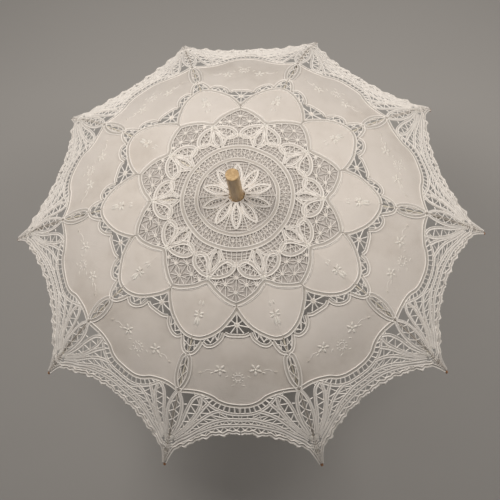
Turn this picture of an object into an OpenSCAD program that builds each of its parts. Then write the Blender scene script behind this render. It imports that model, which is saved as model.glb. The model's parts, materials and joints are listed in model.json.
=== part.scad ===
// Lace parasol: ten folding ribs, stretchers and a runner on a wooden stick, open at rest.
// Millimetres, +Z up, origin at the centre of the handle's foot.

/* [Canopy] */
// Distance from the axis to the rib ends when open
canopy_radius = 400; // [380:5:420]
// Height of the rib hinges above the rib ends when open
canopy_depth = 176; // [160:2:190]
// Thickness of the lace cover
cover_t = 0.8; // [0.6:0.1:1]
// Height of the lace above a rib's centre line
cover_lift = 3; // [2.6:0.1:3.2]
// Length of cover from the top to the hem, midway between two ribs
hem_length = 394; // [360:2:400]

/* [Stick] */
// Length from the handle's foot to the end of the ferrule
overall_length = 686; // [680:1:720]
// Diameter of the stick
shaft_d = 12; // [11.6:0.1:12.4]
// Diameter of the handle's grip
handle_d = 22; // [20:1:24]
// Length of the handle
handle_length = 128; // [110:1:140]
// Diameter of the ferrule on top of the canopy
ferrule_d = 20.4; // [19:0.1:20.6]
// Length of the ferrule
ferrule_length = 78; // [70:1:84]

/* [Ribs] */
// Diameter of a rib's wire
rib_d = 2.8; // [2.4:0.1:2.8]
// Diameter of a stretcher's wire
stretcher_d = 2.2; // [1.8:0.1:2.4]
// Radius at which a stretcher is riveted to its rib
rivet_radius = 185; // [170:1:200]
// Diameter of a rib's end cap
cap_d = 4.8; // [4.2:0.1:5]

/* [Crown and runner] */
// Radius of the wire rings that the ribs and stretchers hinge on
hinge_radius = 11; // [10.8:0.1:11.2]
// Outer radius of the crown's and runner's slotted flanges
flange_radius = 14.5; // [14:0.1:15]
// Width of the slots for the ribs and stretchers
slot_w = 3.2; // [3:0.1:3.4]
// Length of the runner
runner_length = 44; // [40:1:48]

/* [Hidden] */
$fn = 48;
RIBS = 10;
wood = [0.72, 0.56, 0.36];
lace = [0.9, 0.87, 0.82];
ivory = [0.86, 0.8, 0.68];
steel = [0.7, 0.7, 0.72];
copper = [0.66, 0.4, 0.22];

// Radius of the arc that each rib is bent to. The open canopy is this dome with flat gores.
dome_r = (pow(canopy_radius, 2) + pow(canopy_depth, 2)) / (2 * canopy_depth);
crown_top = 2;
hub_z = overall_length - ferrule_length - crown_top;
dome_z = hub_z - dome_r;
rib_half = 180 / RIBS;
tip_angle = asin(canopy_radius / dome_r);
hinge_angle = asin(hinge_radius / dome_r);
rivet_angle = asin(rivet_radius / dome_r);
// The hinge lies on the rib's arc, so it is a hair below the top of the dome.
hinge_z = dome_z + dome_r * cos(hinge_angle);
rivet_z = dome_z + dome_r * cos(rivet_angle);
// The stretcher is as long as the rib from hinge to rivet, so the runner's hinge drops twice as far.
link_drop = hinge_z - rivet_z;
link_length = norm([rivet_radius - hinge_radius, link_drop]);
runner_z = hinge_z - 2 * link_drop;
link_angle = atan2(link_drop, rivet_radius - hinge_radius);

flange_half = 4.5;
slot_floor = 7.6;
wire_r = 0.6;
eye_w = 2.4;
eye_r = 2.2;
eye_bore_r = 0.9;
rivet_r = 0.75;
ear_in = 1.7;
ear_out = 2.5;
ear_length = 14;
shoulder_z = hub_z - 5;
neck_z = hub_z - 14;
crown_pin_z = hub_z - 10;
// The stick ends in a stud that the ferrule is glued over, and its foot sits in the handle.
stud_r = 4;
stud_top = hub_z + 34;
shaft_foot = 28;
pin_r = 0.8;
stop_pin_r = 1;
stop_pin_z = runner_z + flange_half + 1.5;
runner_play = 0.08;
sleeve_r = 9.5;
collar_h = 12;
catch_length = 24;
catch_pin_r = 0.6;
catch_pin_y = 3;
catch_gap = 0.7;
// The open runner stands on the top catch's nose. The closed runner stops with its window's lower
// edge just under the bottom catch's nose.
fold_angle = 65;
runner_closed_z = hinge_z - 2 * link_length * sin(link_angle + fold_angle);
top_catch_z = runner_z + flange_half - runner_length - catch_gap - catch_length;
window_low = -28;
window_high = -11;
bottom_catch_z = runner_closed_z + window_low + catch_gap + catch_length;

// Puts a rib's or stretcher's shape, drawn in the XZ plane, at its place round the stick.
module around(i) {
    rotate([0, 0, 2 * rib_half * (i - 1)]) children();
}

// A bar of diameter d from one point of the XZ plane to another.
module bar(from, to, d) {
    v = to - from;
    translate([from[0], 0, from[1]]) rotate([0, atan2(v[0], v[1]), 0]) cylinder(d = d, h = norm(v));
}

// A cylinder across the XZ plane at point p, of radius r, from y = a to y = b.
module across(p, r, a, b) {
    translate([p[0], b, p[1]]) rotate([90, 0, 0]) cylinder(r = r, h = b - a);
}

// The slots that ten ribs or stretchers turn in, cut from height low to height high.
module slots(low, high) {
    for (i = [1 : RIBS]) {
        around(i) translate([slot_floor, -slot_w / 2, low]) cube([flange_radius, slot_w, high - low]);
    }
}

// The groove that the hinge wire is bound into.
module wire_groove(z) {
    translate([0, 0, z - 0.65]) difference() {
        cylinder(r = flange_radius + 1, h = 1.3);
        translate([0, 0, -1]) cylinder(r = hinge_radius - wire_r, h = 4);
    }
}

module wire_ring(z) {
    color(steel) translate([0, 0, z]) rotate_extrude() {
        translate([hinge_radius, 0]) circle(r = wire_r, $fn = 24);
    }
}

// A cut for a catch whose pin is at height z, open on the stick's +Y side. The catch points up if
// way is 1 and down if it is -1.
module catch_slot(z, way) {
    low = z - (way > 0 ? 3 : catch_length + 2);
    translate([-0.9, 0.6, low]) cube([1.8, shaft_d, catch_length + 5]);
    translate([-shaft_d, catch_pin_y, z]) rotate([0, 90, 0]) cylinder(r = catch_pin_r, h = 2 * shaft_d);
}

module shaft() {
    color(wood) difference() {
        union() {
            translate([0, 0, shaft_foot]) cylinder(d = shaft_d, h = shoulder_z - shaft_foot);
            translate([0, 0, shoulder_z]) cylinder(r = stud_r, h = stud_top - shoulder_z);
        }
        catch_slot(top_catch_z, 1);
        catch_slot(bottom_catch_z, -1);
        across([0, crown_pin_z], pin_r, -shaft_d, shaft_d);
        across([0, stop_pin_z], stop_pin_r, -shaft_d, shaft_d);
    }
}

module handle() {
    r = handle_d / 2;
    neck = shaft_d / 2 + 2.4;
    color(wood) difference() {
        rotate_extrude() {
            polygon(concat(
                [[0, 0], [r - 3, 0]],
                [for (a = [-80 : 10 : 0]) [r - 3 + 3 * cos(a), 3 + 3 * sin(a)]],
                [for (t = [0 : 0.1 : 1])
                    [r + (neck - r) * (1 - cos(180 * t)) / 2, handle_length * (0.72 + 0.28 * t)]],
                [[0, handle_length]]));
        }
        translate([0, 0, shaft_foot]) cylinder(d = shaft_d, h = handle_length);
        for (z = [0.66, 0.69]) {
            translate([0, 0, handle_length * z]) rotate_extrude() translate([r, 0]) circle(r = 0.8, $fn = 24);
        }
    }
}

module handle_collar() {
    outer = shaft_d / 2 + 1.8;
    color([0.78, 0.62, 0.3]) translate([0, 0, handle_length]) rotate_extrude() {
        polygon([[shaft_d / 2, 0], [outer + 0.6, 0], [outer + 0.6, 2], [outer, 2.6], [outer, collar_h - 1.6],
            [outer - 0.8, collar_h], [shaft_d / 2, collar_h]]);
    }
}

module ferrule() {
    r = ferrule_d / 2;
    edge = 1.6;
    base = hub_z + crown_top;
    color([0.76, 0.57, 0.36]) translate([0, 0, base]) difference() {
        rotate_extrude() {
            polygon(concat([[0, 0], [r, 0]],
                [for (a = [0 : 15 : 90]) [r - edge + edge * cos(a), ferrule_length - edge + edge * sin(a)]],
                [[0, ferrule_length]]));
        }
        translate([0, 0, -1]) cylinder(r = stud_r, h = stud_top - base + 1);
    }
}

module crown() {
    color(wood) difference() {
        union() {
            translate([0, 0, hub_z - flange_half]) cylinder(r = flange_radius, h = flange_half + crown_top);
            translate([0, 0, neck_z]) cylinder(r = slot_floor - 0.1, h = hub_z - neck_z);
        }
        translate([0, 0, neck_z - 1]) cylinder(d = shaft_d, h = shoulder_z - neck_z + 1);
        cylinder(r = stud_r, h = overall_length);
        slots(hub_z - 2 * flange_half, hub_z + crown_top + 1);
        wire_groove(hinge_z);
        across([0, crown_pin_z], pin_r, -shaft_d, shaft_d);
    }
}

module crown_wire() {
    wire_ring(hinge_z);
}

module crown_pin() {
    color(steel) across([0, crown_pin_z], pin_r, 0.1 - slot_floor, slot_floor - 0.1);
}

module stop_pin() {
    color(steel) across([0, stop_pin_z], stop_pin_r, -9, 9);
}

module catch_pins() {
    reach = sqrt(pow(shaft_d / 2, 2) - pow(catch_pin_y, 2)) - 0.2;
    for (z = [top_catch_z, bottom_catch_z]) {
        color(steel) translate([-reach, catch_pin_y, z]) rotate([0, 90, 0]) {
            cylinder(r = catch_pin_r, h = 2 * reach);
        }
    }
}

// Turned sleeve with a slotted flange, its stretcher hinges at height 0 of its own drawing.
module runner() {
    foot = flange_half - runner_length;
    color(wood) translate([0, 0, runner_z]) difference() {
        rotate_extrude() {
            polygon([[0, foot], [sleeve_r + 1, foot], [sleeve_r + 1.6, foot + 1.5], [sleeve_r + 1, foot + 3],
                [sleeve_r, foot + 4], [sleeve_r, -flange_half - 4], [flange_radius, -flange_half],
                [flange_radius, flange_half], [0, flange_half]]);
        }
        translate([0, 0, -60]) cylinder(r = shaft_d / 2 + runner_play, h = 80);
        slots(-3, flange_half + 1);
        wire_groove(0);
        translate([-1.6, 0, window_low]) cube([3.2, shaft_d, window_high - window_low]);
    }
}

module runner_wire() {
    wire_ring(runner_z);
}

// A sprung leaf, drawn pressed flush into the stick. It turns on the pin at one end and its nose is
// at the other, above the pin if way is 1 and below it if way is -1.
module catch_leaf(z, way) {
    face = shaft_d / 2 - 0.3;
    color(steel) translate([0, 0, z]) difference() {
        translate([-0.6, 0, 0]) rotate([90, 0, 90]) linear_extrude(height = 1.2) {
            polygon(concat(
                [for (a = [180 : 15 : 360]) [catch_pin_y + 1.5 * cos(a), way * 1.5 * sin(a)]],
                [[face - 1.2, way * (catch_length - 10)], [face, way * (catch_length - 5)],
                 [face, way * catch_length], [1.9, way * catch_length]]));
        }
        translate([-1, catch_pin_y, 0]) rotate([0, 90, 0]) cylinder(r = catch_pin_r + 0.08, h = 4);
    }
}

module top_catch() {
    catch_leaf(top_catch_z, 1);
}

module bottom_catch() {
    catch_leaf(bottom_catch_z, -1);
}

// A bent wire with a flattened eye on the crown's ring and a flat for the stretcher's rivet.
module rib(i) {
    pivot = [hinge_radius, hinge_z];
    rivet = [rivet_radius, rivet_z];
    inner = 90 - hinge_angle - asin(eye_r / 2 / dome_r);
    outer = 90 - tip_angle + 0.35;
    color(ivory) around(i) difference() {
        union() {
            translate([0, 0, dome_z]) rotate([90, 0, 0]) rotate([0, 0, outer]) {
                rotate_extrude(angle = inner - outer) translate([dome_r, 0]) circle(d = rib_d, $fn = 24);
            }
            across(pivot, eye_r, -eye_w / 2, eye_w / 2);
            across(rivet, eye_r, -eye_w / 2, eye_w / 2);
        }
        across(pivot, eye_bore_r, -4, 4);
        across(rivet, rivet_r, -4, 4);
    }
}

// A wire with an eye on the runner's ring and a two-eared fork astride its rib.
module stretcher(i) {
    pivot = [hinge_radius, runner_z];
    along = [cos(link_angle), sin(link_angle)];
    color(ivory) around(i) difference() {
        union() {
            bar(pivot + eye_r / 2 * along, pivot + (link_length - ear_length + 1) * along, stretcher_d);
            across(pivot, eye_r, -eye_w / 2, eye_w / 2);
            translate([pivot[0], 0, pivot[1]]) rotate([0, -link_angle, 0]) translate([link_length, 0, 0]) {
                for (side = [-1, 1]) {
                    translate([0, side * (ear_in + ear_out) / 2, 0]) {
                        rotate([90, 0, 0]) cylinder(r = 2, h = ear_out - ear_in, center = true);
                        translate([-ear_length, (ear_in - ear_out) / 2, -1.3]) {
                            cube([ear_length, ear_out - ear_in, 2.6]);
                        }
                    }
                }
                translate([-ear_length - 1, -ear_out, -1.3]) cube([3, 2 * ear_out, 2.6]);
            }
        }
        across(pivot, eye_bore_r, -4, 4);
        across([rivet_radius, rivet_z], rivet_r + 0.08, -4, 4);
    }
}

// The rivet that joins a rib to its stretcher, and the cap on the rib's end.
module rib_trim(i) {
    color(copper) around(i) {
        across([rivet_radius, rivet_z], rivet_r, -ear_out - 0.4, ear_out + 0.4);
        across([rivet_radius, rivet_z], 1.5, -ear_out - 0.9, -ear_out - 0.3);
        across([rivet_radius, rivet_z], 1.5, ear_out + 0.3, ear_out + 0.9);
        translate([0, 0, dome_z]) rotate([0, tip_angle, 0]) translate([0, 0, dome_r]) rotate([0, 90, 0]) {
            difference() {
                union() {
                    translate([0, 0, -10]) cylinder(d = cap_d, h = 10);
                    sphere(d = cap_d);
                }
                translate([0, 0, -11]) cylinder(d = rib_d + 0.1, h = 8.2);
            }
        }
    }
}

// Length along the arc to the cover's edge, q from 0 on the rib to 1 midway between ribs.
function hem(q) = hem_length + (dome_r * tip_angle * PI / 180 - 3 - hem_length) * pow(1 - q, 4);

// A point of the cover at height lift over the dome, t along its length and q across half a gore.
// Each gore is flat from rib to rib, so its middle line has cos(rib_half) of the ribs' radius.
function cover_point(t, q, lift) =
    let (first = 12.5,
         angle = (first + (hem(abs(q)) - first) * t) / dome_r * 180 / PI,
         r = (dome_r + lift) * sin(angle),
         middle = [r * cos(rib_half) * cos(rib_half), r * cos(rib_half) * sin(rib_half)],
         side = q < 0 ? -1 : 1,
         p = [r, 0] + (middle - [r, 0]) * abs(q))
    [p[0] - 0.1 * sin(rib_half) * abs(q),
     side * (p[1] - (0.1 / sin(rib_half) - 0.1) * abs(q) * sin(rib_half)),
     dome_z + (dome_r + lift) * cos(angle)];

// One panel of lace from the middle of one gore over a rib to the middle of the next.
module canopy(i) {
    rows = 20;
    cols = 10;
    width = cols + 1;
    layer = (rows + 1) * width;
    qs = [for (k = [0 : cols]) 2 * k / cols - 1];
    points = [for (lift = [cover_lift + cover_t / 2, cover_lift - cover_t / 2])
        for (row = [0 : rows]) for (q = qs) cover_point(row / rows, q, lift)];
    sheet = [for (row = [0 : rows - 1]) for (k = [0 : cols - 1])
        let (a = row * width + k) [[a, a + 1, a + width], [a + 1, a + width + 1, a + width]]];
    top = [for (pair = sheet) for (f = pair) f];
    under = [for (f = top) [f[2] + layer, f[1] + layer, f[0] + layer]];
    rim = concat(
        [for (k = [0 : cols - 1]) k],
        [for (row = [0 : rows - 1]) row * width + cols],
        [for (k = [0 : cols - 1]) layer - 1 - k],
        [for (row = [0 : rows - 1]) (rows - row) * width]);
    edge = [for (k = [0 : len(rim) - 1])
        let (a = rim[k], b = rim[(k + 1) % len(rim)]) [a, a + layer, b + layer, b]];
    color(lace) around(i) polyhedron(points, concat(top, under, edge));
}

shaft();
handle();
handle_collar();
ferrule();
crown();
crown_wire();
crown_pin();
stop_pin();
catch_pins();
runner();
runner_wire();
top_catch();
bottom_catch();
rib(1);  // rib_01
rib(2);  // rib_02
rib(3);  // rib_03
rib(4);  // rib_04
rib(5);  // rib_05
rib(6);  // rib_06
rib(7);  // rib_07
rib(8);  // rib_08
rib(9);  // rib_09
rib(10);  // rib_10
stretcher(1);  // stretcher_01
stretcher(2);  // stretcher_02
stretcher(3);  // stretcher_03
stretcher(4);  // stretcher_04
stretcher(5);  // stretcher_05
stretcher(6);  // stretcher_06
stretcher(7);  // stretcher_07
stretcher(8);  // stretcher_08
stretcher(9);  // stretcher_09
stretcher(10);  // stretcher_10
rib_trim(1);  // rib_trim_01
rib_trim(2);  // rib_trim_02
rib_trim(3);  // rib_trim_03
rib_trim(4);  // rib_trim_04
rib_trim(5);  // rib_trim_05
rib_trim(6);  // rib_trim_06
rib_trim(7);  // rib_trim_07
rib_trim(8);  // rib_trim_08
rib_trim(9);  // rib_trim_09
rib_trim(10);  // rib_trim_10
canopy(1);  // canopy_01
canopy(2);  // canopy_02
canopy(3);  // canopy_03
canopy(4);  // canopy_04
canopy(5);  // canopy_05
canopy(6);  // canopy_06
canopy(7);  // canopy_07
canopy(8);  // canopy_08
canopy(9);  // canopy_09
canopy(10);  // canopy_10
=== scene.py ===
"""Looks for the lace parasol: braid, cloth, needle-made grounds and embroidery drawn flat on half a
gore, then laid on the dome and hung on the ribs; wood, lacquer and steel for the frame."""

import json

import bpy
import numpy as np
from mathutils import Matrix


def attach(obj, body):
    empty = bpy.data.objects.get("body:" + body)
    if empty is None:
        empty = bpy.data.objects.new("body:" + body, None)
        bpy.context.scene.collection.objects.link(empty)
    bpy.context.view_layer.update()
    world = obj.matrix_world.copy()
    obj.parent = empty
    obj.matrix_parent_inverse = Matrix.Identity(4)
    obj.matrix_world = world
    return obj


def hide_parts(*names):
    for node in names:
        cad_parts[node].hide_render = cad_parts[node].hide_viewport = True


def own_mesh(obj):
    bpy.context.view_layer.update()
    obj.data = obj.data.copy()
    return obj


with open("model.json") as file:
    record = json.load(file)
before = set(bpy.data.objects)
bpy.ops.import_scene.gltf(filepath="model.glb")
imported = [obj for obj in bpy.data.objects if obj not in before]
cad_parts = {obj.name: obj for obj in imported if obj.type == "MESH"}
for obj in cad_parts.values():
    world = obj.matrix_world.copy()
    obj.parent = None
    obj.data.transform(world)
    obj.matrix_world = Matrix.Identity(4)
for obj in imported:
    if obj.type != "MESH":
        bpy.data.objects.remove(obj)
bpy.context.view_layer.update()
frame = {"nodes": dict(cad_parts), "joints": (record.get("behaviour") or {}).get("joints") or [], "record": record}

# HALF is half the angle between two ribs, in radians; GORE_TURN is the whole of it, in degrees.
MM = 0.001
RIBS = 10
HALF = np.pi / RIBS
GORE_TURN = 360 // RIBS
JOINTS = {j["name"]: j for j in frame["joints"]}


# ---------------------------------------------------------------- the dome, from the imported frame

def rib_arc():
    """Height of the centre and radius, in mm, of the arc that every rib is bent to: the circle centred
    on the stick that passes through the rib's crown hinge and its stretcher's rivet."""
    hinge, rivet = (np.array(JOINTS[n]["pos_m"]) / MM for n in ("rib_01_fold", "stretcher_01_pivot"))
    (r1, z1), (r2, z2) = (np.hypot(*hinge[:2]), hinge[2]), (np.hypot(*rivet[:2]), rivet[2])
    centre = (r2**2 + z2**2 - r1**2 - z1**2) / (2 * (z2 - z1))
    return centre, np.hypot(r1, z1 - centre)


# Lengths are in mm. OPEN_R: the stick to a rib's end. LIFT: the cloth over the ribs' centre lines.
DOME_Z, DOME_R = rib_arc()
HINGE_R = float(np.hypot(*JOINTS["rib_01_fold"]["pos_m"][:2])) / MM
HINGE_Z = JOINTS["rib_01_fold"]["pos_m"][2] / MM
FOLD = np.radians(JOINTS["rib_01_fold"]["range_deg"][1])
OPEN_R = 0.4 / MM
TIP_Z = DOME_Z + np.sqrt(DOME_R**2 - OPEN_R**2)
LIFT = 3.0


def half_width(s):
    """Distance from the middle of a gore to its rib, s mm of cloth below the crown: the rib's distance
    from the stick there, times the sine of half the angle between ribs."""
    return DOME_R * np.sin(np.asarray(s) / DOME_R) * np.sin(HALF)


def at_rib(v, s):
    """A point of the pattern v mm from the rib."""
    return (float(half_width(s)) - v, s)


def hoop(s, reach=np.inf, count=12):
    """A round hoop about the stick through the rib at s: where the flat gore is u from its middle,
    the hoop lies where out squared plus u squared is the rib's radius squared. It stops at reach."""
    radius = DOME_R * np.sin(s / DOME_R)
    u = np.linspace(0, min(reach, float(half_width(s))), count)
    out = np.sqrt(radius**2 - u**2)
    return np.stack([u, DOME_R * np.arcsin(out / (DOME_R * np.cos(HALF)))], axis=1)


def folded_share(s):
    """The share of its width that the cloth keeps at s when the parasol is folded. The middle of the
    gore, cos(HALF) squared of the rib's radius out along the rib, turns down about the crown hinge with
    it. Folded, the gore's half is as wide as its middle is from the stick, times tan(HALF)."""
    radius = DOME_R * np.sin(s / DOME_R)
    x = radius * np.cos(HALF) ** 2 - HINGE_R
    z = DOME_Z + DOME_R * np.cos(s / DOME_R) - HINGE_Z
    folded = HINGE_R + x * np.cos(FOLD) + z * np.sin(FOLD)
    return float(folded * np.tan(HALF) / (radius * np.cos(HALF) * np.sin(HALF)))


# ---------------------------------------------------------------- camera

# Where the lens stands: distances are in open canopy radii, from the middle of the rib ends' plane.
# The lens and its sensor are in mm, how far it sees in metres.
CAMERA_DISTANCE = 3.681
CAMERA_HEIGHT = np.radians(69.83)
CAMERA_ROLL = np.radians(12.96)
CAMERA_TURN = np.radians(12.98)
CAMERA_ASIDE = (0.0021, -0.0582)
CAMERA_LENS = 61.8
CAMERA_SENSOR = 36.0
CAMERA_SIGHT = 30.0


def stand(thing, right, up, ahead, place):
    """Puts a camera or lamp at place, in metres, looking ahead, and adds it to the scene."""
    rows = [[right[k], up[k], -ahead[k], place[k]] for k in range(3)]
    thing.matrix_world = Matrix(rows + [[0, 0, 0, 1]])
    bpy.context.scene.collection.objects.link(thing)


def make_camera():
    """The eye looks down at CAMERA_HEIGHT above the horizon, rolled and turned about the stick."""
    across = np.array([np.cos(CAMERA_TURN), np.sin(CAMERA_TURN), 0])
    level = np.array([-np.sin(CAMERA_TURN), np.cos(CAMERA_TURN), 0])
    up0 = level * np.sin(CAMERA_HEIGHT) + np.array([0, 0, np.cos(CAMERA_HEIGHT)])
    ahead = level * np.cos(CAMERA_HEIGHT) - np.array([0, 0, np.sin(CAMERA_HEIGHT)])
    c, s = np.cos(CAMERA_ROLL), np.sin(CAMERA_ROLL)
    right, up = c * across - s * up0, s * across + c * up0
    middle = np.array([0, 0, TIP_Z])
    aside = CAMERA_ASIDE[0] * across + CAMERA_ASIDE[1] * up0
    place = middle + OPEN_R * (aside - CAMERA_DISTANCE * ahead)
    data = bpy.data.cameras.new("eye")
    data.lens, data.sensor_width, data.clip_end = CAMERA_LENS, CAMERA_SENSOR, CAMERA_SIGHT
    eye = bpy.data.objects.new("eye", data)
    stand(eye, right, up, ahead, place * MM)
    bpy.context.scene.camera = eye
    return right, up, ahead


VIEW_RIGHT, VIEW_UP, VIEW_AHEAD = make_camera()


# ---------------------------------------------------------------- shader arithmetic

class Value:
    """A socket that adds Math nodes when it is used in a sum: a * 2 + b."""

    def __init__(self, tree, socket):
        self.tree, self.socket = tree, socket

    def _math(self, operation, *inputs):
        node = self.tree.nodes.new("ShaderNodeMath")
        node.operation = operation
        for slot, given in zip(node.inputs, inputs):
            if isinstance(given, Value):
                self.tree.links.new(given.socket, slot)
            else:
                slot.default_value = given
        return Value(self.tree, node.outputs[0])

    def __add__(self, other): return self._math("ADD", self, other)
    def __radd__(self, other): return self._math("ADD", other, self)
    def __sub__(self, other): return self._math("SUBTRACT", self, other)
    def __rsub__(self, other): return self._math("SUBTRACT", other, self)
    def __mul__(self, other): return self._math("MULTIPLY", self, other)
    def __pow__(self, other): return self._math("POWER", self, other)
    def sine(self): return self._math("SINE", self)
    def size(self): return self._math("ABSOLUTE", self)
    def least(self, other): return self._math("MINIMUM", self, other)


class Finish:
    """A material under construction: its Principled shader, and one way to add any other node."""

    def __init__(self, name, **constants):
        self.material = bpy.data.materials.new(name)
        self.material.use_nodes = True
        self.tree = self.material.node_tree
        self.shader = self.tree.nodes["Principled BSDF"]
        for socket, given in constants.items():
            self.shader.inputs[socket.replace("_", " ")].default_value = given

    def node(self, kind, settings=(), output=0, **inputs):
        """Adds a node of a type with its settings, then links or sets its sockets by name."""
        made = self.tree.nodes.new("ShaderNode" + kind)
        for key, given in dict(settings).items():
            setattr(made, key, given)
        for key, given in inputs.items():
            slot = made.inputs[key]
            if isinstance(given, Value):
                self.tree.links.new(given.socket, slot)
            else:
                slot.default_value = given
        return Value(self.tree, made.outputs[output])

    def place(self):
        """The place on the piece, in metres."""
        return self.node("TexCoord", output="Object")

    def cloth_xy(self):
        """The piece's own map: how far across and along the cloth or braid, in mm."""
        parts = self.tree.nodes.new("ShaderNodeSeparateXYZ")
        self.tree.links.new(self.node("UVMap", {"uv_map": "cut"}).socket, parts.inputs[0])
        return Value(self.tree, parts.outputs[0]), Value(self.tree, parts.outputs[1])

    def noise(self, scale, detail, rough=0.5):
        """Cloudy noise over the piece, scale clouds to the metre."""
        return self.node("TexNoise", Vector=self.place(), Scale=scale, Detail=detail, Roughness=rough)

    def stretched(self, scale, **settings):
        """Noise drawn out by having its own scale along x, y and z."""
        place = self.node("Mapping", Vector=self.place(), Scale=scale)
        return self.node("TexNoise", Vector=place, Scale=1.0, **settings)

    def ramp(self, value, stops):
        """A colour for each level of value: stops are (level, colour)."""
        made = self.tree.nodes.new("ShaderNodeValToRGB")
        band = made.color_ramp
        while len(band.elements) < len(stops):
            band.elements.new(0.5)
        for element, (level, colour) in zip(band.elements, stops):
            element.position, element.color = level, (*colour, 1)
        self.tree.links.new(value.socket, made.inputs[0])
        return Value(self.tree, made.outputs["Color"])

    def mix(self, share, a, b):
        """Colour a turning into b as share goes from 0 to 1."""
        made = self.tree.nodes.new("ShaderNodeMix")
        made.data_type = "RGBA"
        self.tree.links.new(share.socket, made.inputs[0])
        for slot, colour in zip(made.inputs[6:8], (a, b)):
            if isinstance(colour, Value):
                self.tree.links.new(colour.socket, slot)
            else:
                slot.default_value = (*colour, 1)
        return Value(self.tree, made.outputs[2])

    def feed(self, socket, value):
        """Links a value to a socket of the Principled shader."""
        self.tree.links.new(value.socket, self.shader.inputs[socket])
        return self

    def bump(self, height, distance, strength):
        """Height as relief, distance metres high where height is 1."""
        made = self.node("Bump", Height=height, Distance=distance, Strength=strength)
        return self.feed("Normal", made)


# ---------------------------------------------------------------- finishes

ECRU = (0.665, 0.60, 0.535)
ECRU_LIGHT = (0.745, 0.68, 0.62)
ECRU_DEEP = (0.585, 0.52, 0.455)


def cotton_lawn():
    """Fine plain-weave cotton. Colour: slow cloudy drift from a deep to a light ecru. Height: warp
    times weft, each a sine every 0.7 mm, with slubs from finer noise."""
    f = Finish("cotton_lawn", Roughness=0.85, Specular_IOR_Level=0.25, Sheen_Weight=0.25,
               Sheen_Roughness=0.5)
    x, y = f.cloth_xy()
    cloud = f.noise(9.0, 4.0)
    slub = f.noise(60.0, 2.0)
    weave = (x * 9.0).sine() * (y * 9.0).sine()
    tone = cloud * 0.7 + slub * 0.2 + weave * 0.05
    f.feed("Base Color", f.ramp(tone, [(0.3, ECRU_DEEP), (0.42, ECRU), (0.75, ECRU_LIGHT)]))
    f.feed("Roughness", 0.8 + slub * 0.12)
    return f.bump(weave * 0.5 + slub * 0.8, 0.00025, 0.6).material


def lining_voile():
    """Soft greyed voile behind the middle of the lace. Height: an open weave, warp times weft, each a
    sine every 1.1 mm."""
    f = Finish("lining_voile", Roughness=0.9, Specular_IOR_Level=0.2, Sheen_Weight=0.15)
    x, y = f.cloth_xy()
    weave = (x * 5.7).sine() * (y * 5.7).sine() * 0.5 + 0.5
    tone = f.noise(12.0, 3.0) * 0.7 + weave * 0.3
    f.feed("Base Color", f.mix(tone, (0.42, 0.38, 0.345), (0.55, 0.505, 0.465)))
    return f.bump(weave, 0.0002, 0.5).material


def braid_cotton():
    """Woven tape. Across runs from -1 to 1: thick cords near both edges and a see-through middle, one
    less the cube of the size of across. Along it, the weft shows as a fine herringbone, the sine of
    along plus the size of across. The see-through middle is coloured a dark brown as painted shade,
    the darkness seen through the open net."""
    f = Finish("braid_cotton", Roughness=0.8, Specular_IOR_Level=0.3, Sheen_Weight=0.2,
               Sheen_Roughness=0.45)
    across, along = f.cloth_xy()
    middle = 1.0 - (across.size() * 1.5).least(1.0) ** 3.0
    weft = (along * 5.2 + across.size() * 4.0).sine() * 0.5 + 0.5
    cloud = f.noise(14.0, 3.0)
    # Mask of the see-through middle, where painted shade goes: the darkness seen through the open net, deeper
    # where the weft is high.
    sheer_painted_shade = middle * (0.42 + weft * 0.36)
    light = f.mix(cloud, (0.84, 0.78, 0.71), (0.96, 0.90, 0.835))
    # Painted shade: the see-through middle is mixed towards a dark brown.
    f.feed("Base Color", f.mix(sheer_painted_shade, light, (0.20, 0.165, 0.125)))
    f.feed("Roughness", 0.72 + sheer_painted_shade * 0.2)
    return f.bump(weft * (1.0 - middle * 0.4) + cloud * 0.4, 0.0004, 0.8).material


def spun_thread():
    """Wrapped bars and needle threads. The twist is a slanted sine along the thread."""
    f = Finish("spun_thread", Roughness=0.8, Specular_IOR_Level=0.3, Sheen_Weight=0.2)
    across, along = f.cloth_xy()
    twist = (along * 6.0 + across * 2.5).sine() * 0.5 + 0.5
    cloud = f.noise(20.0, 3.0)
    f.feed("Base Color", f.mix(cloud * 0.7 + twist * 0.3, (0.82, 0.765, 0.70), (0.96, 0.905, 0.84)))
    f.feed("Roughness", 0.7 + twist * 0.15)
    return f.bump(twist, 0.0003, 0.7).material


def satin_stitch():
    """Glossier embroidery floss laid side by side: a sine across the stitches, every 0.6 mm, pushed
    about by fine noise."""
    f = Finish("satin_stitch", Roughness=0.45, Specular_IOR_Level=0.5, Sheen_Weight=0.35,
               Sheen_Roughness=0.3)
    along = f.cloth_xy()[1]
    floss = (along * 10.0 + f.noise(40.0, 2.0) * 2.0).sine() * 0.5 + 0.5
    f.feed("Base Color", f.mix(floss, (0.76, 0.69, 0.60), (0.96, 0.91, 0.83)))
    f.feed("Roughness", 0.38 + floss * 0.2)
    return f.bump(floss, 0.0003, 0.8).material


def turned_wood(name, pale, mid, dark, gloss):
    """Straight-grained varnished wood. Grain: noise stretched nearly twenty times along the stick,
    darkened in thin lines, a sine of that noise, plus broad drift."""
    f = Finish(name, Roughness=gloss, Coat_Weight=0.25, Coat_Roughness=0.2)
    fine = f.stretched((260.0, 260.0, 14.0), Detail=5.0, Roughness=0.6)
    broad = f.noise(28.0, 3.0)
    line = (fine * 18.0 + broad * 6.0).sine() * 0.5 + 0.5
    tone = fine * 0.55 + broad * 0.3 + line * 0.15
    f.feed("Base Color", f.ramp(tone, [(0.28, dark), (0.5, mid), (0.72, pale)]))
    f.feed("Roughness", gloss - 0.08 + fine * 0.2)
    return f.bump(fine * 0.6 + line * 0.4, 0.0002, 0.5).material


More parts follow.
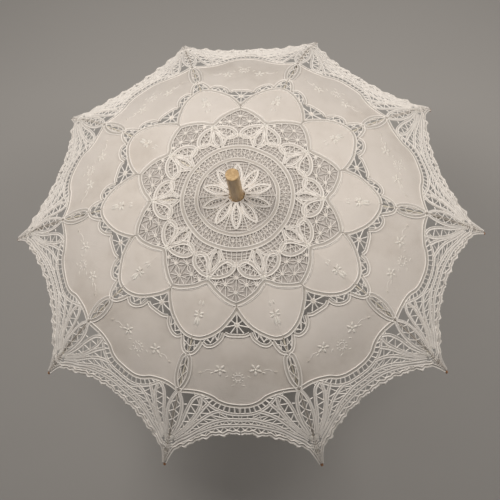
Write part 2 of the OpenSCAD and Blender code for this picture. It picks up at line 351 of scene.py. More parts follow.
def lacquered_wire(name, base, worn, gloss):
    """Lacquer on wire, rubbed thinner in patches where noise is high, over a fine grain."""
    f = Finish(name, Metallic=0.1, Roughness=gloss, Coat_Weight=0.3)
    patch = f.noise(90.0, 5.0, rough=0.65)
    grain = f.noise(700.0, 2.0)
    f.feed("Base Color", f.ramp(patch, [(0.35, base), (0.62, base), (0.8, worn)]))
    f.feed("Roughness", gloss + patch * 0.25 - 0.1)
    return f.bump(grain * 0.5 + patch, 0.00008, 0.5).material


def drawn_steel():
    """Plain drawn wire and spring strip: stretched noise for the drawing lines, faint tarnish."""
    f = Finish("drawn_steel", Metallic=1.0, Roughness=0.35)
    line = f.stretched((900, 900, 60))
    stain = f.noise(120.0, 4.0)
    f.feed("Base Color", f.mix(stain, (0.62, 0.61, 0.6), (0.4, 0.37, 0.33)))
    f.feed("Roughness", 0.22 + line * 0.25 + stain * 0.1)
    return f.bump(line, 0.00005, 0.5).material


def spun_brass():
    """Polished collar with faint lathe lines round it and slow tarnish."""
    f = Finish("spun_brass", Metallic=1.0, Roughness=0.28)
    ring = f.stretched((8, 8, 1500))
    stain = f.noise(150.0, 4.0)
    f.feed("Base Color", f.mix(stain, (0.80, 0.60, 0.28), (0.52, 0.36, 0.16)))
    f.feed("Roughness", 0.18 + ring * 0.15 + stain * 0.15)
    return f.bump(ring, 0.00006, 0.5).material


def pale_floor():
    """Matt floor: broad noise drifts between two close pale greys."""
    f = Finish("pale_floor", Roughness=0.7)
    cloud = f.noise(1.5, 3.0)
    f.feed("Base Color", f.mix(cloud, (0.45, 0.425, 0.395), (0.485, 0.46, 0.43)))
    return f.material


# ---------------------------------------------------------------- drawing lace on half a gore

# Every pattern point is (u, s) in mm: u from the middle of the gore towards the rib, s down the cloth.
# STEP is how far apart the points of a curve lie.
CLOTH, BRAID, THREAD, SATIN, LINING = range(5)
FINISHES = [cotton_lawn(), braid_cotton(), spun_thread(), satin_stitch(), lining_voile()]
STEP = 2.2


def flow(points, step=STEP):
    """A smooth curve through the points: Catmull-Rom, so each stretch leaves a point along the line
    between its neighbours, then points spaced evenly, about step apart."""
    p = np.array(points, float)
    p = np.vstack([2 * p[0] - p[1], p, 2 * p[-1] - p[-2]])
    t = np.linspace(0, 1, 24, endpoint=False)[:, None, None]
    a, b, c, d = (p[k : len(p) - 3 + k][None] for k in range(4))
    bend, twist = 2 * a - 5 * b + 4 * c - d, 3 * b - a - 3 * c + d
    fine = 0.5 * (2 * b + (c - a) * t + bend * t**2 + twist * t**3)
    fine = np.vstack([fine.transpose(1, 0, 2).reshape(-1, 2), p[-2]])
    return spaced(fine, step=step)


def spaced(line, count=None, step=STEP):
    """The same line with count points, or points about step apart, evenly spaced along it."""
    line = np.asarray(line, float)
    along = np.concatenate([[0], np.cumsum(np.hypot(*np.diff(line, axis=0).T))])
    count = count or max(2, int(np.ceil(along[-1] / step)) + 1)
    at = np.linspace(0, along[-1], count)
    return np.stack([np.interp(at, along, line[:, k]) for k in range(2)], axis=1)


def inside(points):
    """Keeps pattern points on this half of the gore."""
    points = np.array(points, float)
    points[:, 0] = np.clip(points[:, 0], 0, half_width(points[:, 1]))
    return points


def within(points, outline):
    """Which points lie inside a closed outline: those from which a ray towards +u crosses it an odd
    number of times."""
    (u, s), o = points.T[:, :, None], np.asarray(outline, float)
    (u1, s1), (u2, s2) = o.T, np.roll(o, -1, axis=0).T
    spans = (s1 > s) != (s2 > s)
    meet = u1 + (s - s1) * (u2 - u1) / np.where(spans, s2 - s1, 1)
    return (spans & (u < meet)).sum(axis=1) % 2 == 1


# The tape's profile: how far across it, from -1 to 1, and how high, as a share of its height. Where the
# tape is solid its middle, the TAPE_MIDDLE points, rises to TAPE_SOLID.
TAPE_ACROSS = np.array([-1, -0.93, -0.76, -0.55, -0.36, 0, 0.36, 0.55, 0.76, 0.93, 1, 0.5, -0.5])
TAPE_RISE = np.array([0.1, 0.72, 1.0, 0.72, 0.22, 0.16, 0.22, 0.72, 1.0, 0.72, 0.1, -0.3, -0.3])
TAPE_MIDDLE = slice(3, 8)
TAPE_SOLID = 0.85

# In mm: how high a thread lies over the cloth and the shortest that is made. The ridge is a share.
THREAD_LIFT = 0.35
THREAD_RIDGE = 0.6
SHORTEST_THREAD = 0.8


class Lace:
    """One zone of lace on half a gore: closed shapes with heights above the cloth, all in mm. chance
    is the zone's own source of the hand's unevenness."""

    def __init__(self, seed):
        self.points, self.maps, self.faces, self.finishes, self.total = [], [], [], [], 0
        self.chance = np.random.default_rng(seed)

    def add(self, points, maps, faces, finish):
        """faces is a list of whole-number arrays, one row a face."""
        points = np.asarray(points, float)
        points[:, :2] = inside(points[:, :2])
        self.points.append(points)
        self.maps.append(np.asarray(maps, float))
        for some in faces:
            self.faces.append(np.asarray(some) + self.total)
            self.finishes.append(finish)
        self.total += len(points)

    def braid(self, line, width, height, solid=0.0):
        """Tape along a line: a profile with two round cords near its edges and a low middle, carried
        along the line square to it. Round the profile goes a closed strip, ended by flat caps. The
        more solid it is, the more its middle fills up, in height and in weave, so the less painted
        shade its middle gets."""
        rise = TAPE_RISE.copy()
        rise[TAPE_MIDDLE] += (TAPE_SOLID - rise[TAPE_MIDDLE]) * solid
        way = np.gradient(line, axis=0)
        way /= np.maximum(np.hypot(*way.T)[:, None], 1e-9)
        side = np.stack([-way[:, 1], way[:, 0]], axis=1)
        flat = line[:, None] + side[:, None] * (TAPE_ACROSS * width / 2)[None, :, None]
        high = np.broadcast_to((rise * height)[None, :], flat.shape[:2])
        along = np.concatenate([[0], np.cumsum(np.hypot(*np.diff(line, axis=0).T))])
        # The map across the tape: the more solid it is, the less of its middle is read as open net, so the less
        # painted shade it gets.
        weave = np.where(TAPE_ACROSS < 0, -1, 1) * (solid + (1 - solid) * np.abs(TAPE_ACROSS))
        maps = np.stack(np.broadcast_arrays(weave[None], along[:, None]), axis=-1)
        self.tube(np.concatenate([flat, high[..., None]], axis=-1), maps, BRAID)

    def tube(self, rings, maps, finish):
        """Closes a grid of rings (along, round) into a strip with a flat face at each end."""
        n, m = rings.shape[:2]
        i = np.arange(n * m).reshape(n, m)
        j = np.roll(i, -1, axis=1)
        walls = np.stack([i[:-1], j[:-1], j[1:], i[1:]], axis=-1).reshape(-1, 4)
        self.add(rings.reshape(-1, 3), maps.reshape(-1, 2), [walls, i[:1, ::-1], i[-1:]], finish)

    def threads(self, starts, ends, thick, lift=THREAD_LIFT):
        """Straight threads, many at once, each a three-sided bar with closed ends: the flat base is
        thick across and the ridge stands THREAD_RIDGE of that above it."""
        a, b = inside(starts), inside(ends)
        way = b - a
        length = np.hypot(*way.T)
        keep = length > SHORTEST_THREAD
        a, b, way, length = a[keep], b[keep], way[keep], length[keep]
        if not len(a):
            return
        thick = np.broadcast_to(thick, keep.shape)[keep]
        side = np.stack([-way[:, 1], way[:, 0]], axis=1) / length[:, None] * thick[:, None] / 2
        corners = []
        for end in (a, b):
            for shift, up in ((-1, 0.0), (1, 0.0), (0, THREAD_RIDGE)):
                corners.append(np.column_stack([end + shift * side, lift + up * thick]))
        points = np.stack(corners, axis=1).reshape(-1, 3)
        maps = np.zeros((len(a), 6, 2))
        maps[:, :, 0] = [-1, 1, 0, -1, 1, 0]
        maps[:, 3:, 1] = length[:, None]
        base = 6 * np.arange(len(a))[:, None]
        walls = [base + np.array(w) for w in ([0, 3, 4, 1], [1, 4, 5, 2], [2, 5, 3, 0])]
        ends = [base + np.array(w) for w in ([0, 1, 2], [3, 5, 4])]
        self.add(points, maps.reshape(-1, 2), [np.vstack(walls), np.vstack(ends)], THREAD)

    def strand(self, line, thick, lift=THREAD_LIFT):
        """A thread along a curve, as straight pieces end to end."""
        self.threads(line[:-1], line[1:], thick, lift)

    def cloth(self, first, last, rows, thick=0.35, sunk=0.0, finish=CLOTH):
        """Cloth ruled from one edge line to the other: each of rows lines lies a share of the way
        from first to last. It lies sunk below the lace, and its under side is thick lower."""
        count = max(len(first), len(last))
        a, b = spaced(first, count), spaced(last, count)
        t = np.linspace(0, 1, rows)[None, :, None]
        flat = a[:, None] * (1 - t) + b[:, None] * t
        side = half_width(flat[-1, :, 1])
        flat[-1, :, 0] = np.where(side - flat[-1, :, 0] < 1, side, flat[-1, :, 0])
        over = np.concatenate([flat, np.full((count, rows, 1), -sunk)], axis=-1).reshape(-1, 3)
        under = over - [0, 0, thick]
        i = np.arange(count * rows).reshape(count, rows)
        top = np.stack([i[:-1, :-1], i[:-1, 1:], i[1:, 1:], i[1:, :-1]], axis=-1).reshape(-1, 4)
        rim = np.concatenate([i[:-1, 0], i[-1, :-1], i[:0:-1, -1], i[0, :0:-1]])
        n, after = count * rows, np.roll(rim, -1)
        edge = np.stack([rim, after, after + n, rim + n], axis=-1)
        maps = np.tile(flat.reshape(-1, 2), (2, 1))
        self.add(np.vstack([over, under]), maps, [top, top[:, ::-1] + n, edge], finish)

    def net(self, first, last, bars, lines, thick, jitter=0.5, slant=False):
        """Needle-made ground between two edge lines: bars threads from one to the other and lines
        threads along it, tied where they cross, each crossing a little out of place by hand. With
        slant, every cell also has a thread from corner to corner."""
        a, b = spaced(first, bars), spaced(last, bars)
        t = np.linspace(0, 1, lines + 2)[None, :, None]
        grid = a[:, None] * (1 - t) + b[:, None] * t
        if lines:
            grid[:, 1:-1] += self.chance.normal(0, jitter, grid[:, 1:-1].shape)
        heft = thick * self.chance.uniform(0.8, 1.2)
        self.threads(grid[:, :-1].reshape(-1, 2), grid[:, 1:].reshape(-1, 2), heft)
        if lines:
            mid = grid[:, 1:-1]
            self.threads(mid[:-1].reshape(-1, 2), mid[1:].reshape(-1, 2), heft * 0.9, 0.5)
        if slant:
            odd = grid[:-1, :-1][::2], grid[1:, 1:][::2]
            even = grid[:-1, 1:][1::2], grid[1:, :-1][1::2]
            for p, q in (odd, even):
                self.threads(p.reshape(-1, 2), q.reshape(-1, 2), heft * 0.85, 0.45)

    def zigzag(self, first, last, count, thick):
        """One bar that runs from edge to edge and back along the gap between them."""
        ends = np.stack([spaced(first, count), spaced(last, count)])
        turn = np.arange(count)
        self.strand(ends[turn % 2, turn], thick)

    def spider(self, hub, ends, thick, body):
        """Threads from a hub to the ends given, with two rounds woven about the hub, the outer one
        at a radius of body."""
        hub, ends = np.array(hub, float), np.array(ends, float)
        self.threads(np.tile(hub, (len(ends), 1)), ends, thick)
        turn = np.linspace(0, 2 * np.pi, 11)
        for radius in (body * 0.45, body):
            ring = hub + radius * np.stack([np.cos(turn), np.sin(turn)], axis=1)
            self.strand(ring[ring[:, 0] > -0.2] if hub[0] < 1 else ring, thick * 1.15, 0.6)

    def webs(self, hubs, outline, reach, thick):
        """A field of spiders: from each hub ten threads run out until they would be nearer to
        another hub, or to one's mirror image over the gore's middle, or would leave the outline."""
        hubs = np.array(hubs, float)
        every = np.vstack([hubs, hubs * [-1, 1]])
        step = np.linspace(0, 1, 31)[1:, None] * reach
        for hub in hubs:
            ends = []
            for turn in np.radians(np.arange(10) * 36 + self.chance.uniform(-8, 8, 10)):
                ray = hub + step * [np.sin(turn), np.cos(turn)]
                gap = np.hypot(*(ray[:, None] - every[None]).transpose(2, 0, 1)).min(axis=1)
                own = np.hypot(*(ray - hub).T)
                keep = (gap > own - 1.6) & within(ray, outline) & (ray[:, 0] > -0.1)
                stop = len(ray) if keep.all() else int(np.argmin(keep))
                if stop > 3:
                    ends.append(ray[stop - 1])
            self.spider(hub, ends, thick, 2.3)

    def petal(self, root, tip, width, height=1.2):
        """A satin-stitch petal: an oval dome between root and tip, flat underneath, its stitches
        running from the middle vein to the edges. Width and height swell as a sine to the power 0.6
        of the way from root to tip."""
        root, tip = np.array(root, float), np.array(tip, float)
        way = tip - root
        length = np.hypot(*way)
        way /= length
        side = np.array([-way[1], way[0]])
        t = np.linspace(0, 1, 8)[:, None]
        q = np.array([-1, -0.6, 0, 0.6, 1, 0])[None, :]
        up = np.array([0, 0.75, 0.9, 0.75, 0, -0.15])[None, :]
        swell = np.sin(np.pi * np.clip(t, 0.03, 0.97)) ** 0.6
        flat = root + way * (t * length)[..., None] + side * (q * swell * width / 2)[..., None]
        high = up * swell * height
        maps = np.stack(np.broadcast_arrays(q, t * length), axis=-1)
        self.tube(np.concatenate([flat, high[..., None]], axis=-1), maps, SATIN)

    def flower(self, centre, radius, petals, turn=0.0):
        """Petals round a centre, and a knot of floss in the middle."""
        for k in range(petals):
            a = turn + 2 * np.pi * k / petals
            way = np.array([np.cos(a), np.sin(a)])
            self.petal(centre + way * radius * 0.22, centre + way * radius, radius * 0.42)
        knot = (0, radius * 0.2)
        self.petal(np.subtract(centre, knot), np.add(centre, knot), radius * 0.4, 1.5)


# ---------------------------------------------------------------- the pattern, zone by zone

PETAL_EDGE = [(0, 181), (5, 190), (12, 199.5), at_rib(40, 211.5), at_rib(30, 220), at_rib(20, 225),
              at_rib(10, 227), at_rib(0, 225.5)]
FAN_EDGE = [(0, 175), (12, 169.5), (22, 162), (31, 153), (36.5, 144.5), at_rib(0, 138)]
FAN_TOP = [(0, 115), (3, 120), (10, 129.5), (20, 133), (30, 134.5), at_rib(0, 135)]
KNOT_LOOP = [(38.5, 130.5), (28, 133), (14, 129.5), (5, 121), (4.4, 112.5), (12, 107.5), (22, 110.5),
             (31, 119), (38.5, 130.5)]
PANEL_EDGE = [(0, 337.5), (18, 336), (32, 330), (42, 321.5), (58, 314.5), (74, 311), at_rib(2, 310)]
HUB_S = 394.0
LEAF_TAPE = 5.6, 1.7, 0.65
PUFFS = 16
LINING_THICK, LINING_SUNK = 0.3, 1.4


def rosette():
    """Crown to second ring: the daisy, ring one, a needle-made band and ring two."""
    lace = Lace(1)
    leaf = flow([(0.5, 13), (3.8, 21), (6.6, 33), (5.0, 46), (0, 56.5)], 1.6)
    lace.braid(leaf, 4.0, 1.8, 0.75)
    lace.zigzag([(0, 17), (0, 52)], leaf[3:-3], 13, 1.2)
    lace.strand(flow([(0.5, 18), (2.6, 27), (3.0, 38), (0.5, 50)], 3), 1.2, 0.3)
    rib_line = [at_rib(0, s) for s in np.linspace(20, 58, 9)]
    lace.net(leaf[6:], rib_line, 8, 1, 1.15, 0.35)
    lace.braid(hoop(62), 7.4, 1.4)
    lace.braid(hoop(84.5), 8.2, 1.4)
    lace.net(hoop(65.5), hoop(80.5), 5, 1, 1.2, 0.5, slant=True)
    lace.strand(hoop(12.5, count=3), 2.4, 0.2)
    lace.strand(spaced(rib_line), 2.0, 0.4)
    return lace


def fans():
    """Ring two to the fan: a square-mesh block, the loops about each rib's knot and the fan's webs."""
    lace = Lace(2)
    lace.net(hoop(88.5, 23), [(0, 114), (9, 113), (17, 108)], 4, 3, 1.25, 0.5)
    lace.braid(flow([(24.5, 89), (21.5, 97), (18, 106), (9.5, 113), (0, 115)]), 4.6, 1.5, 0.5)
    on_rib = flow([at_rib(0.4, 91), at_rib(4.6, 97), at_rib(6.4, 106), at_rib(4.4, 116),
                   at_rib(0.4, 122)], 1.8)
    lace.braid(on_rib, 5.4, 1.8, 0.45)
    lace.zigzag(on_rib[3:-3], [at_rib(0, s) for s in (98, 106, 117)], 5, 1.1)
    lace.net([(25.5, 91), (21.5, 105)], [at_rib(7.5, 97), at_rib(8, 112)], 4, 0, 1.2)
    lace.braid(flow(KNOT_LOOP, 1.8), 7.2, 2.0, 0.3)
    lace.zigzag([(32, 123.5), (22, 114), (9, 112)], [(31, 130), (19, 129), (8, 120)], 8, 1.2)
    lace.strand(flow([(34, 127.5), (24, 121), (8, 116)], 4), 1.3)
    lace.braid(flow(FAN_EDGE), 7.8, 1.5)
    top, foot = flow(FAN_TOP), flow(FAN_EDGE) - [2.2, 4.0]
    lace.webs([(0, 133), (15.5, 144), (0, 156), (30, 143)], np.vstack([top, foot[::-1]]), 17, 1.25)
    knot = at_rib(0, 131)
    lace.petal((knot[0], 127), (knot[0], 138), 9, 2.0)
    return lace


def crown_lining():
    """The voile behind the rosette, from the ferrule to ring two."""
    lace = Lace(8)
    lace.cloth(hoop(12), hoop(89.6), 16, LINING_THICK, LINING_SUNK, LINING)
    return lace


def fan_lining():
    """The voile behind the fans, from ring two to the cloth petals."""
    lace = Lace(9)
    lace.cloth(hoop(88.4), flow(FAN_EDGE), 18, LINING_THICK, LINING_SUNK, LINING)
    return lace


def cloth_petals():
    """A pointed cloth petal astride each rib, its braid, and a small embroidered sprig."""
    lace = Lace(3)
    inner = flow([(0, 178), (14, 172.5), (25, 164.5), (34, 155), (39.5, 146.5), at_rib(0, 141)])
    outer = flow(PETAL_EDGE)
    lace.cloth(inner, outer, 22)
    lace.braid(outer - [1.0, 1.0], 7.0, 1.4)
    lace.strand(inner[2:] + [0.5, 1.2], 1.3, 0.2)
    sprig = np.array(at_rib(0, 189))
    for way, reach in (((-0.9, -0.25), 9), ((-0.75, 0.65), 8), ((0, -1), 7)):
        lace.petal(sprig + np.array(way) * 1.5, sprig + np.array(way) * reach, 4.2, 1.3)
    lace.petal(np.array(at_rib(1.6, 194)), np.array(at_rib(2.8, 207)), 5.0, 1.4)
    lace.petal(np.array(at_rib(2.4, 168)), np.array(at_rib(3.4, 176)), 2.8, 0.9)
    return lace


def windows():
    """The open windows round the cloth petals, each closed outside by a scallop of braid."""
    lace = Lace(4)
    scallops = [[(0, 223.5), (12, 223), (19, 219.5)],
                [(20.5, 218.5), (25, 229), (35, 237), (45, 238), at_rib(18, 232)],
                [at_rib(16.5, 231), at_rib(13.5, 241), at_rib(8, 249), at_rib(0, 251)]]
    for line in scallops:
        lace.braid(flow(line), 6.0, 1.5, 0.2)
    lace.spider((0, 207), [(0, 187), (9, 199), (18, 210), (10, 219.5), (0, 219.5)], 2.1, 3.4)
    lace.zigzag(flow([(24, 213), at_rib(30, 222.5), at_rib(18, 228)]),
                flow([(26, 226), (35, 233.5), at_rib(19, 231)]), 6, 1.7)
    lace.zigzag([(28, 216), at_rib(21, 227)], [(30, 231), at_rib(22, 234)], 3, 1.5)
    lace.zigzag([at_rib(15, 229), at_rib(7, 230), at_rib(0, 229)],
                [at_rib(11, 241), at_rib(5, 247), at_rib(0, 248)], 4, 1.6)
    lace.strand(np.array([at_rib(12, 236), at_rib(0, 238.5)]), 1.4)
    return lace


def panels():
    """The large cloth panel: its braid, the almond loop at its side and its embroidery."""
    lace = Lace(5)
    inner = flow([(0, 225.5), (14, 225.5), (21, 226.5), (26, 234.5), (36, 240.5), (46, 241),
                  at_rib(17.5, 237), at_rib(13, 246.5), at_rib(4, 252.5), at_rib(7, 262),
                  at_rib(9, 280)])
    outer = flow([(0, 335.5), (18, 334), (31, 328), (41, 319.5), (57, 312.5), (72, 309.5),
                  at_rib(2.5, 307.5), at_rib(7.5, 296), at_rib(9, 280)])
    lace.cloth(inner, outer, 34)
    lace.braid(flow(PANEL_EDGE), 7.2, 1.3)
    almond = flow([at_rib(0.5, 251), at_rib(6.5, 260), at_rib(9.5, 279), at_rib(7.5, 296),
                   at_rib(1, 310)])
    lace.braid(almond, 7.0, 1.5, 0.1)
    lace.zigzag(almond[2:-2] + [2.6, 0], [at_rib(0, s) for s in (258, 279, 304)], 6, 1.6)
    lace.flower((26.5, 277), 9.5, 5, 0.3)
    lace.petal((36, 281), (42, 282.5), 2.2, 0.8)
    lace.flower((56, 280), 2.4, 4)
    lace.strand(flow([(38, 277.5), (45, 276), (51, 279)], 2), 0.8, 0.1)
    wreath = np.array([0, 291])
    for a in np.linspace(0.35, 2.8, 5):
        way = np.array([np.sin(a), -np.cos(a)])
        lace.petal(wreath + way * 6.0, wreath + way * 9.5, 2.4, 0.7)
    lace.strand(flow([(0, 286.5), (3.6, 287.5), (4.8, 291), (3.4, 294.5), (0, 296)], 1.5), 1.0, 0.1)
    lace.petal((5, 302.5), (11, 304), 2.0, 0.6)
    lace.petal((14, 287), (19, 290), 2.0, 0.6)
    return lace


# The braids that run out from the panel's corner to the hub on the rib, nearest to the rib first.
LEAF_LINES = [
    [(59, 318), (70, 325), (80, 342), (89, 364), at_rib(6, 389)],
    [(56.5, 321), (60, 336), (70, 355), (84, 374), at_rib(8, 391)],
    [(47, 332), (58, 344), (71, 361), (86, 379), at_rib(9, 394)],
    [(29, 346), (44, 350.5), (62, 362), (82, 381), at_rib(10, 397)],
    [(0, 361), (22, 361.5), (48, 369), (72, 383), at_rib(11, 401)]]


def border():
    """From the panel to the corner hub: the ladder row and the leaf loops that fan to each rib."""
    lace = Lace(6)
    ladder = flow([(0, 351.5), (18, 350.5), (32, 345.5), (43, 337.5), (51, 328), (58, 319)])
    lace.braid(ladder, 5.2, 1.5, 0.6)
    edge = flow(PANEL_EDGE)
    lace.threads(spaced(edge[edge[:, 0] < 52] + [1.2, 2.6], 9), spaced(ladder - [1.0, 1.6], 9), 2.4)
    curves = [flow(line) for line in LEAF_LINES]
    for curve in curves:
        lace.braid(curve, *LEAF_TAPE)
    for a, b, count in zip(curves, curves[1:], (9, 9, 9, 12)):
        lace.zigzag(a[3:-6], b[3:-6], count, 1.9)
    along_rib = flow([at_rib(1, 311), at_rib(7.5, 327), at_rib(10.5, 346), at_rib(9, 368),
                      at_rib(4, 388)])
    lace.braid(along_rib, *LEAF_TAPE)
    lace.zigzag(along_rib[3:-3] + [2, 0], [at_rib(0, s) for s in (318, 350, 384)], 9, 1.9)
    lace.braid(spaced([at_rib(0.4, 314), at_rib(0.4, 386)]), 2.6, 1.2)
    lace.threads([(3, 352.5), (12, 352.5), (21, 351.5), (30, 348)],
                 [(2, 357), (11, 357.5), (20, 357.5), (32, 361)], 2.0)
    lace.threads([(66, 319), (80, 333)], [(68, 312), at_rib(12, 333)], 1.8)
    lace.threads([(86, 353), (91, 366)], [at_rib(11.5, 351), at_rib(10, 363)], 1.7)
    hub = at_rib(7, HUB_S)
    lace.petal((hub[0], hub[1] - 6), (hub[0] + 5, hub[1] + 8), 8, 1.6)
    return lace


def hem():
    """The outer rows, the scalloped edge and the point that is tied over the rib's end. The edge
    waves as a cosine of eight and a half turns, plus a sine whose turns come closer together."""
    lace = Lace(7)
    upper = flow(LEAF_LINES[-1])
    middle = flow([(0, 371), (30, 373), (60, 382.5), (84, 396), at_rib(9, 411)])
    lace.braid(middle, 5.8, 1.7, 0.65)
    lace.zigzag(upper + [0, 2.0], middle - [0, 2.0], 22, 2.0)
    teeth = flow([(0, 383), (22, 384.5), (44, 388), (66, 395), (86, 405), at_rib(11.5, 415)], 1.6)
    along = np.linspace(0, 1, len(teeth))[:, None]
    wave = 1.2 * np.cos(2 * np.pi * 8.5 * along)
    wave = wave + 1.1 * np.sin(2 * np.pi * (3.7 * along + 1.4 * along**2) + 1)
    edge = teeth + np.hstack([0.3 * wave, wave])
    lace.braid(edge, 6.4, 2.2, 0.5)
    lace.zigzag(middle + [0, 2.0], edge - [0, 2.2], 19, 2.2)
    puffs = spaced(edge + [0.8, 3.2], PUFFS + 2)[1:-1] + lace.chance.uniform(-1.3, 1.3, (PUFFS, 2))
    for p, size in zip(puffs, lace.chance.uniform(2.4, 4.4, PUFFS)):
        lace.petal(p - (size, 0.6), p + (size, 1.0), 1.6 + 0.8 * size, 2.4)
    side = flow([at_rib(12.5, 412), at_rib(7.6, 422), at_rib(4.0, 433), at_rib(1.2, 445)])
    lace.braid(side, 5.6, 1.8, 0.5)
    lace.zigzag(side[:-2], [at_rib(0, s) for s in (404, 418, 438)], 6, 1.6)
    lace.braid(flow([at_rib(1.2, 392), at_rib(2.6, 408), at_rib(2.0, 424), at_rib(0.8, 440)]), 3.4, 1.6)
    lace.net([at_rib(6, 397), at_rib(9, 412)], [at_rib(0, 399), at_rib(0, 414)], 4, 0, 1.7)
    return lace


# ---------------------------------------------------------------- laying the lace on the dome

def drift(points):
    """Hand-made unevenness, in mm: three slow sines of the place in space, so that neighbouring
    pieces move alike and stay joined."""
    x, y, z = points.T
    return np.stack([
        0.55 * np.sin(y / 19 + 1.3 * np.sin(x / 31)) + 0.3 * np.sin(y / 7.3 + x / 11),
        0.55 * np.sin(x / 17 + 2.1 + 1.1 * np.sin(y / 29)) + 0.3 * np.sin(x / 8.1 - y / 13),
        0.8 * np.sin(x / 37 + y / 45) + 0.5 * np.sin(x / 15 - y / 18)], axis=1)


# The hem's ruffle: the s where it starts, the length over which it grows, its height and wave, in mm.
# Edges that turn by more than CREASE are shaded as sharp.
RUFFLE_FROM, RUFFLE_GROWS, RUFFLE_HEIGHT, RUFFLE_WAVE = 372, 40, 2.6, 4.3
CREASE = np.radians(55)


def on_dome(points, side, rib):
    """Places pattern points (u, s, height) in the frame's own axes, in metres. The gore is ruled
    between two ribs, so its middle line has cos(HALF) of their radius: x = radius cos(HALF) out along
    the gore's middle, y = u across it, z on the arc; height goes along the arc's normal. Near the
    hem the cloth ruffles, a cosine across the gore that grows down the cloth and dies out towards
    the rib."""
    u, s, high = points.T
    angle = s / DOME_R
    ruffle = np.clip((s - RUFFLE_FROM) / RUFFLE_GROWS, 0, 1) ** 1.5
    free = np.clip((half_width(s) - u) / RUFFLE_GROWS, 0, 1)
    middle = GORE_TURN * (rib + side / 2)
    radius = DOME_R + LIFT
    normal = np.stack([np.sin(angle), np.cos(angle) * np.cos(HALF)])
    normal /= np.hypot(*normal)
    wave = np.cos(u / RUFFLE_WAVE + 1.5 * np.sin(middle))
    high = high + RUFFLE_HEIGHT * ruffle * free * wave
    out = radius * np.sin(angle) * np.cos(HALF) + normal[0] * high
    z = DOME_Z + radius * np.cos(angle) + normal[1] * high
    across = -side * u * (radius / DOME_R)
    c, d = np.cos(np.radians(middle)), np.sin(np.radians(middle))
    placed = np.stack([out * c - across * d, out * d + across * c, z], axis=1)
    return (placed + drift(placed)) * MM


def stitch(name, lace, rib):
    """One zone of lace astride a rib: the half gore on each side, mirrored, as one mesh."""
    flat = np.vstack(lace.points)
    maps = np.vstack(lace.maps)
    points = np.vstack([on_dome(flat, 1, rib), on_dome(flat, -1, rib)])
    loops, totals, finishes, n = [], [], [], len(flat)
    for faces, finish in zip(lace.faces, lace.finishes):
        for some in (faces, faces[:, ::-1] + n):
            loops.append(some.ravel())
            totals.append(np.full(len(some), some.shape[1]))
            finishes.append(np.full(len(some), finish))
    loops, totals = np.concatenate(loops), np.concatenate(totals)
    starts = np.concatenate([[0], np.cumsum(totals)[:-1]])
    mesh = bpy.data.meshes.new(name)
    mesh.vertices.add(len(points))
    mesh.vertices.foreach_set("co", points.ravel())
    mesh.loops.add(len(loops))
    mesh.loops.foreach_set("vertex_index", loops.astype(np.int32))
    mesh.polygons.add(len(totals))
    mesh.polygons.foreach_set("loop_start", starts.astype(np.int32))
    mesh.polygons.foreach_set("material_index", np.concatenate(finishes).astype(np.int32))
    mesh.polygons.foreach_set("use_smooth", np.ones(len(totals), bool))
    for finish in FINISHES:
        mesh.materials.append(finish)
    chart = mesh.uv_layers.new(name="cut")
    chart.data.foreach_set("uv", np.vstack([maps, maps])[loops].ravel())
    mesh.update(calc_edges=True)
    mesh.set_sharp_from_angle(angle=CREASE)
    piece = bpy.data.objects.new(name, mesh)
    bpy.context.scene.collection.objects.link(piece)
    return piece


# Each zone: what it is called, how it is drawn, and the s at which its folded width is taken, near
# the zone's upper end.
ZONES = [
    ("rosette", rosette, 40),
    ("fans", fans, 98),
    ("petals", cloth_petals, 150),
    ("windows", windows, 195),
    ("panels", panels, 236),
    ("border", border, 320),
    ("hem", hem, 375),
    ("crown_lining", crown_lining, 40),
    ("fan_lining", fan_lining, 98),
]

# Each cut cloth: its zone, the s where it starts and ends, the share of that length of gore that it
# covers, and the lace zones that are sewn to it.
SHEETS = [
    ("petals", 140, 228, 0.62, ("rosette", "fans", "windows")),
    ("panels", 224, 345, 0.95, ("border", "hem")),
    ("crown_lining", 12, 89, 1.0, ()),
    ("fan_lining", 89, 178, 0.72, ()),
]


def make_cover():
    """Every zone on every rib, each riding its rib."""
    drawn = {name: draw() for name, draw, fold_at in ZONES}
    for rib in range(RIBS):
        number = f"{rib + 1:02d}"
        for name, draw, fold_at in ZONES:
            piece = stitch(f"lace_{name}_{number}", drawn[name], rib)
            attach(piece, f"rib_{number}")
            folded_share(fold_at)
            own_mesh(piece)
        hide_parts(f"canopy_{number}")
        for name, low, high, share, trim in SHEETS:
            width = 2 * float(half_width(high)) * MM
            area = 2 * float(half_width(np.linspace(low, high)).mean()) * (high - low) * MM**2


# Each wood: pale, mid and dark, then how dull its varnish is.
WOODS = {
    "stick_wood": ((0.62, 0.45, 0.26), (0.50, 0.34, 0.18), (0.33, 0.2, 0.1), 0.4),
    "ferrule_wood": ((0.60, 0.42, 0.215), (0.50, 0.33, 0.155), (0.34, 0.21, 0.095), 0.42),
    "notch_wood": ((0.58, 0.42, 0.26), (0.46, 0.32, 0.19), (0.3, 0.19, 0.11), 0.5),
}

# Each slot of lacquered parts: the finish's name, its colour, its colour where worn, how dull it is.
LACQUERS = {
    "frame": ("ivory_lacquer", (0.74, 0.67, 0.55), (0.60, 0.54, 0.44), 0.45),
    "caps": ("copper_brown", (0.42, 0.20, 0.09), (0.62, 0.36, 0.2), 0.4),
}


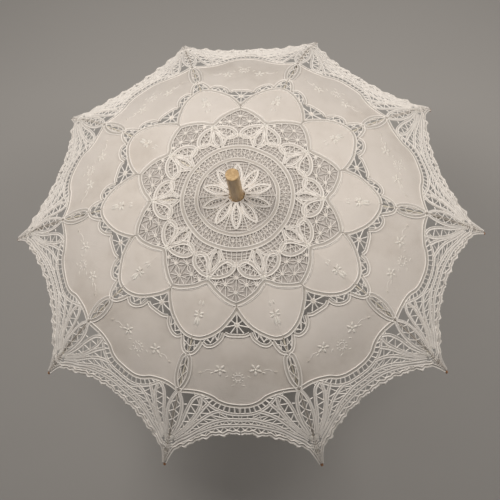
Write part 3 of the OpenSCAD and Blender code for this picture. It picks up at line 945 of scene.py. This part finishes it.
def finish_frame():
    """Gives every carried-over piece of the frame its material."""
    by_slot = {name: turned_wood(name, *tones) for name, tones in WOODS.items()}
    by_slot |= {slot: lacquered_wire(*tones) for slot, tones in LACQUERS.items()}
    by_slot |= {"collar": spun_brass(), "steel": drawn_steel()}
    for part in frame["record"]["subparts"]:
        finish = by_slot.get(part["material_slot"])
        if finish:
            node = frame["nodes"][part["node"]]
            node.data.materials.clear()
            node.data.materials.append(finish)


# ---------------------------------------------------------------- floor and light

# FLOOR_HALF is half the floor's side. Each lamp: its name, how far it stands from the middle of the
# rib ends' plane to the right, up and back in the camera's own directions, the side of its square,
# all in metres, and its watts.
FLOOR_HALF = 6.0
WORLD_LIGHT, WORLD_COLOUR = 0.18, (1.0, 0.985, 0.97, 1)
LAMP_COLOUR = (1.0, 0.97, 0.94)
LAMPS = [
    ("left", -0.66, 0.58, 0.84, 0.45, 8.1),
    ("right", 0.66, 0.54, 0.86, 0.45, 6.5),
]


def make_studio():
    """A pale floor and two soft lamps above the canopy, left and right, towards its far side."""
    far = FLOOR_HALF
    corners = [(-far, -far, 0), (far, -far, 0), (far, far, 0), (-far, far, 0)]
    plane = bpy.data.meshes.new("floor")
    plane.from_pydata(corners, [], [(0, 1, 2, 3)])
    plane.materials.append(pale_floor())
    floor = bpy.data.objects.new("floor", plane)
    bpy.context.scene.collection.objects.link(floor)
    world = bpy.data.worlds.new("studio")
    world.use_nodes = True
    background = world.node_tree.nodes["Background"].inputs
    background["Color"].default_value = WORLD_COLOUR
    background["Strength"].default_value = WORLD_LIGHT
    bpy.context.scene.world = world
    target = np.array([0, 0, TIP_Z * MM])
    for name, aside, up, back, width, power in LAMPS:
        data = bpy.data.lights.new(name, "AREA")
        data.size, data.energy, data.color = width, power, LAMP_COLOUR
        lamp = bpy.data.objects.new(name, data)
        lamp.visible_camera = False
        at = target + aside * VIEW_RIGHT + up * VIEW_UP - back * VIEW_AHEAD
        ray = target - at
        ray /= np.linalg.norm(ray)
        side = np.cross(ray, VIEW_UP)
        side /= np.linalg.norm(side)
        stand(lamp, side, np.cross(side, ray), ray, at)


make_cover()
finish_frame()
make_studio()
bpy.context.scene.view_settings.view_transform = "Standard"
